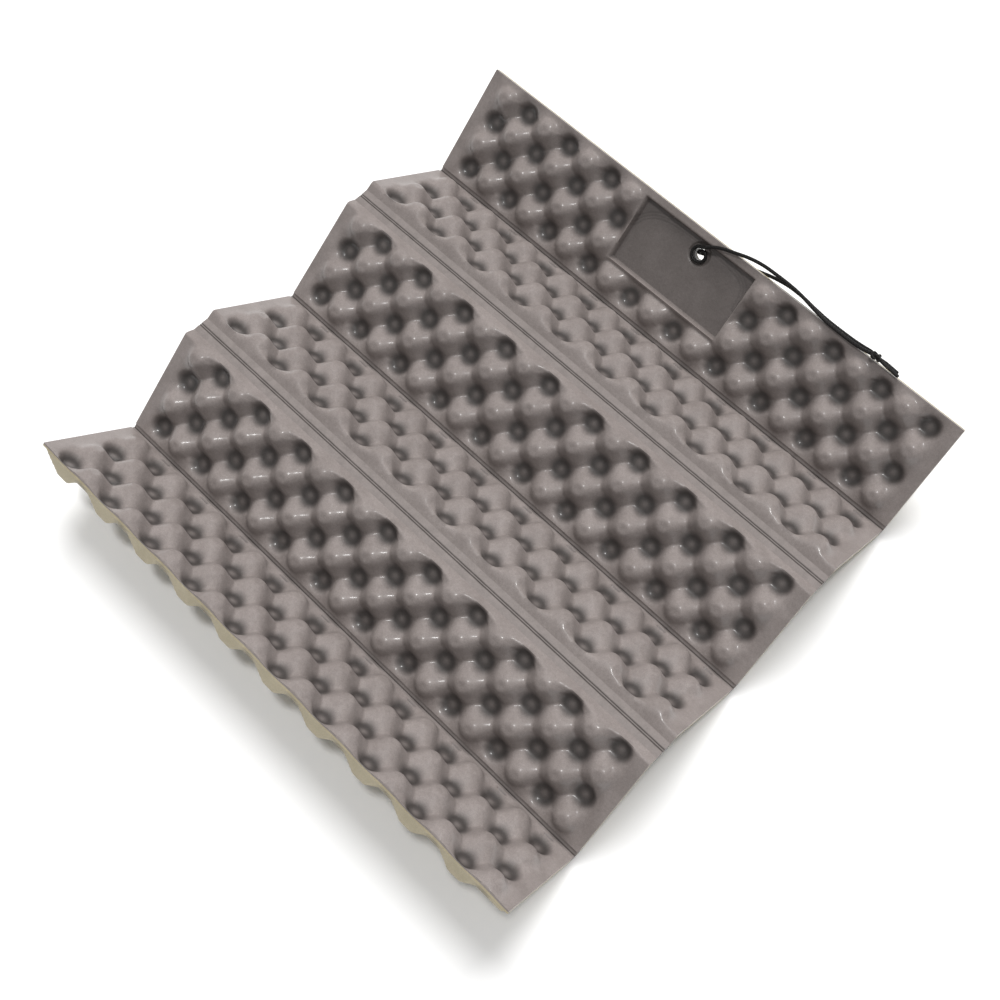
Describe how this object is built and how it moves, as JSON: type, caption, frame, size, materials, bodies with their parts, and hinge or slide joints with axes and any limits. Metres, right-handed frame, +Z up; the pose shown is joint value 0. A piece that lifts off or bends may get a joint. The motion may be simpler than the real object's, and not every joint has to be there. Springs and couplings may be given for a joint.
{
  "type": "folding foam sleeping pad",
  "caption": "Folding egg-crate foam pad of narrow panels in a zigzag, grey above and tan below, with an elastic cord tied through a hole in one end panel.",
  "frame": {"origin": "middle of the standing zigzag's footprint, on the surface that it stands on", "axes": "+X along the folds, to the right seen from the free edge of panel 6; +Y towards the end panel with the cord; +Z up"},
  "size_m": [0.33, 0.3379, 0.0578],
  "materials": {
    "upper_foam": "closed-cell foam with a satin moulded skin, finely mottled warm grey",
    "lower_foam": "closed-cell foam with a dull moulded skin, khaki tan",
    "pressed_fold": "the same foam pressed thin and hard, dark grey",
    "elastic_cord": "braided polyester sheath over a rubber core, black"
  },
  "bodies": {
    "panel_1": {"panel_1_upper_foam": "upper_foam", "panel_1_lower_foam": "lower_foam", "pull_cord": "elastic_cord", "cord_knot": "elastic_cord"},
    "panel_2": {"panel_2_upper_foam": "upper_foam", "panel_2_lower_foam": "lower_foam", "fold_web_1_2": "pressed_fold"},
    "panel_3": {"panel_3_upper_foam": "upper_foam", "panel_3_lower_foam": "lower_foam", "fold_web_2_3": "pressed_fold", "fold_web_3_4": "pressed_fold"},
    "panel_4": {"panel_4_upper_foam": "upper_foam", "panel_4_lower_foam": "lower_foam", "fold_web_4_5": "pressed_fold"},
    "panel_5": {"panel_5_upper_foam": "upper_foam", "panel_5_lower_foam": "lower_foam", "fold_web_5_6": "pressed_fold"},
    "panel_6": {"panel_6_upper_foam": "upper_foam", "panel_6_lower_foam": "lower_foam"}
  },
  "joints": [
    {"name": "fold_1_2", "type": "hinge", "parent": "panel_2", "child": "panel_1", "pos_m": [0, 0.11695, 0.00602], "axis": [1, 0, 0], "range_deg": [-81.5, 91]},
    {"name": "fold_2_3", "type": "hinge", "parent": "panel_3", "child": "panel_2", "pos_m": [0, 0.05715, 0.03929], "axis": [-1, 0, 0], "range_deg": [-76, 104]},
    {"name": "fold_3_4", "type": "hinge", "parent": "panel_3", "child": "panel_4", "pos_m": [0, -0.00205, 0.00498], "axis": [-1, 0, 0], "range_deg": [-79.5, 100.5]},
    {"name": "fold_4_5", "type": "hinge", "parent": "panel_4", "child": "panel_5", "pos_m": [0, -0.05971, 0.04185], "axis": [1, 0, 0], "range_deg": [-81, 99]},
    {"name": "fold_5_6", "type": "hinge", "parent": "panel_5", "child": "panel_6", "pos_m": [0, -0.118, 0.00599], "axis": [-1, 0, 0], "range_deg": [-86, 94]}
  ]
}
